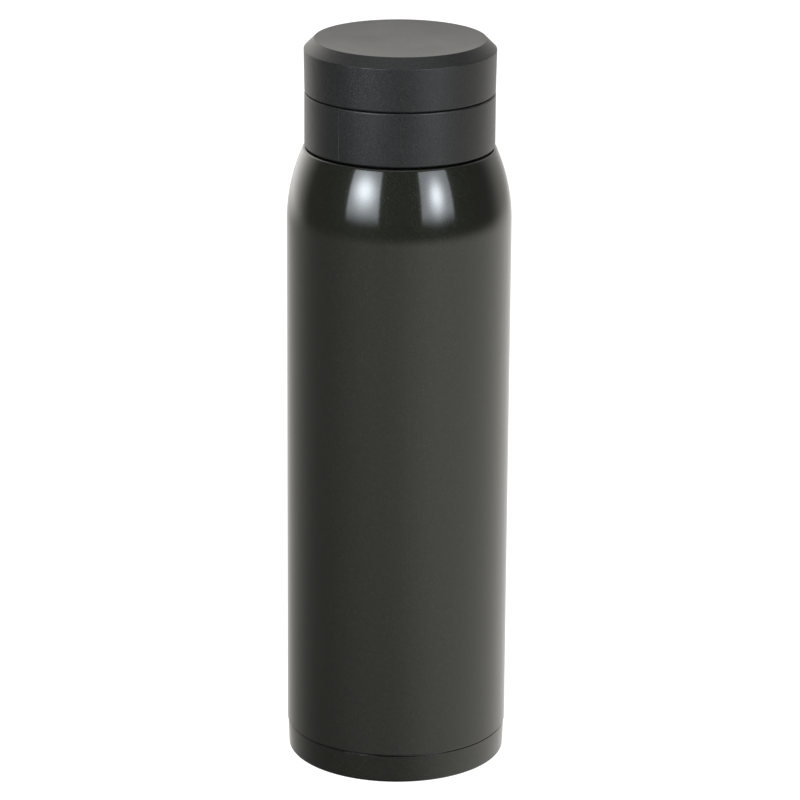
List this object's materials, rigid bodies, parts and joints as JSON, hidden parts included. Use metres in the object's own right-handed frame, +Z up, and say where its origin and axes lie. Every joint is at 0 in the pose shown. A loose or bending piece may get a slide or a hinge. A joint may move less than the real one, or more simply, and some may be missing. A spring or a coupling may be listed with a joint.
{
  "type": "vacuum bottle",
  "caption": "Tall cylindrical double-walled vacuum bottle with a curved shoulder, a screw-on stopper with a drinking spout, and a flat chamfered screw lid.",
  "frame": {"origin": "centre of the base, on the surface that the bottle stands on", "axes": "+Z up along the bottle's axis, from the base to the lid; +X and +Y across it"},
  "size_m": [0.0724, 0.0724, 0.2407],
  "materials": {
    "body_paint": "gloss",
    "bare_steel": "satin",
    "polished_steel": "polished",
    "braze": "satin",
    "copper": "polished",
    "getter": "matte",
    "cap_plastic": "matte",
    "inner_plastic": "satin",
    "silicone": "satin",
    "foam": "matte"
  },
  "bodies": {
    "vessel": {"outer_shell": "body_paint", "base_cup": "body_paint", "base_disc": "bare_steel", "vacuum_seal_bead": "braze", "inner_flask": "polished_steel", "inner_base": "polished_steel", "copper_foil": "copper", "bottom_foil": "copper", "getter_clip": "bare_steel", "getter_pellet": "getter"},
    "stopper_seal": {"stopper_gasket": "silicone"},
    "stopper": {"stopper_body": "inner_plastic", "drinking_spout": "inner_plastic", "stopper_collar": "cap_plastic"},
    "lid_seal": {"lid_gasket": "silicone"},
    "lid": {"lid_shell": "cap_plastic", "lid_liner": "inner_plastic", "lid_insulation": "foam"}
  },
  "joints": [
    {"name": "stopper_lift", "type": "slide", "parent": "vessel", "child": "stopper_seal", "axis": [0, 0, 1], "range_m": [0, 0.048]},
    {"name": "stopper_turn", "type": "hinge", "parent": "stopper_seal", "child": "stopper", "pos_m": [0, 0, 0.215], "axis": [0, 0, 1], "range_deg": [0, 2880]},
    {"name": "lid_lift", "type": "slide", "parent": "stopper", "child": "lid_seal", "axis": [0, 0, 1], "range_m": [0, 0.036]},
    {"name": "lid_turn", "type": "hinge", "parent": "lid_seal", "child": "lid", "pos_m": [0, 0, 0.232], "axis": [0, 0, 1], "range_deg": [0, 2160]}
  ],
  "couplings": [
    {"joint": "stopper_lift", "follows": "stopper_turn", "m_per_rad": 0.00095492},
    {"joint": "lid_lift", "follows": "lid_turn", "m_per_rad": 0.00095492}
  ]
}
